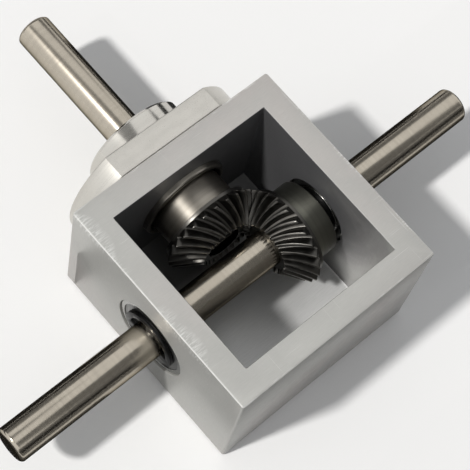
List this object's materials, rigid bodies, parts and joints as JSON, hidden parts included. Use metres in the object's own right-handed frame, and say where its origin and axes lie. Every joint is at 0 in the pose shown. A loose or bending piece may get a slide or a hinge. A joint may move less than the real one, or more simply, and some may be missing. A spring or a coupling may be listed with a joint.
{
  "type": "dual output bevel gearbox",
  "caption": "Open square aluminium gearbox with a through output shaft, a flanged input shaft at a right angle and meshed spiral bevel gears.",
  "frame": {"origin": "middle of the box's closed base, below the point where the two shaft axes cross", "axes": "+X along the through output shaft towards the output gear's hub, +Y along the input shaft towards its free end, +Z out of the open side of the box"},
  "size_m": [0.182, 0.1415, 0.05],
  "materials": {
    "housing": "satin milled",
    "flange": "satin turned",
    "shaft": "ground",
    "gear": "black oxide, oiled",
    "spacer": "turned",
    "clip": "black oxide",
    "black_screw": "black oxide",
    "bearing_race": "ground",
    "bearing_ball": "polished",
    "bearing_cage": "moulded",
    "bearing_shield": "pressed"
  },
  "bodies": {
    "box": {"housing": "housing", "input_flange": "flange", "flange_screws": "black_screw", "left_output_bearing_outer_race": "bearing_race", "left_output_bearing_shields": "bearing_shield", "right_output_bearing_outer_race": "bearing_race", "right_output_bearing_shields": "bearing_shield", "inner_input_bearing_outer_race": "bearing_race", "inner_input_bearing_shields": "bearing_shield", "outer_input_bearing_outer_race": "bearing_race", "outer_input_bearing_shields": "bearing_shield"},
    "output": {"output_shaft": "shaft", "output_gear": "gear", "output_gear_set_screw": "black_screw", "output_gear_spacer": "spacer", "output_clip_right": "clip", "output_clip_left": "clip", "left_output_bearing_inner_race": "bearing_race", "right_output_bearing_inner_race": "bearing_race"},
    "input": {"input_shaft": "shaft", "input_gear": "gear", "input_gear_set_screw": "black_screw", "input_gear_shim": "spacer", "input_bearing_spacer": "spacer", "input_clip": "clip", "inner_input_bearing_inner_race": "bearing_race", "outer_input_bearing_inner_race": "bearing_race"},
    "left_balls": {"left_output_bearing_balls": "bearing_ball", "left_output_bearing_cage": "bearing_cage"},
    "right_balls": {"right_output_bearing_balls": "bearing_ball", "right_output_bearing_cage": "bearing_cage"},
    "inner_balls": {"inner_input_bearing_balls": "bearing_ball", "inner_input_bearing_cage": "bearing_cage"},
    "outer_balls": {"outer_input_bearing_balls": "bearing_ball", "outer_input_bearing_cage": "bearing_cage"}
  },
  "joints": [
    {"name": "output_spin", "type": "hinge", "parent": "box", "child": "output", "pos_m": [0, 0, 0.025], "axis": [1, 0, 0], "continuous": true},
    {"name": "input_spin", "type": "hinge", "parent": "box", "child": "input", "pos_m": [0, 0, 0.025], "axis": [0, 1, 0], "continuous": true},
    {"name": "left_balls_spin", "type": "hinge", "parent": "box", "child": "left_balls", "pos_m": [-0.034, 0, 0.025], "axis": [1, 0, 0], "continuous": true},
    {"name": "right_balls_spin", "type": "hinge", "parent": "box", "child": "right_balls", "pos_m": [0.034, 0, 0.025], "axis": [1, 0, 0], "continuous": true},
    {"name": "inner_balls_spin", "type": "hinge", "parent": "box", "child": "inner_balls", "pos_m": [0, 0.033, 0.025], "axis": [0, 1, 0], "continuous": true},
    {"name": "outer_balls_spin", "type": "hinge", "parent": "box", "child": "outer_balls", "pos_m": [0, 0.0502, 0.025], "axis": [0, 1, 0], "continuous": true}
  ],
  "couplings": [
    {"joint": "input_spin", "follows": "output_spin", "ratio": -1},
    {"joint": "left_balls_spin", "follows": "output_spin", "ratio": 0.381},
    {"joint": "right_balls_spin", "follows": "output_spin", "ratio": 0.381},
    {"joint": "inner_balls_spin", "follows": "output_spin", "ratio": -0.381},
    {"joint": "outer_balls_spin", "follows": "output_spin", "ratio": -0.381}
  ]
}
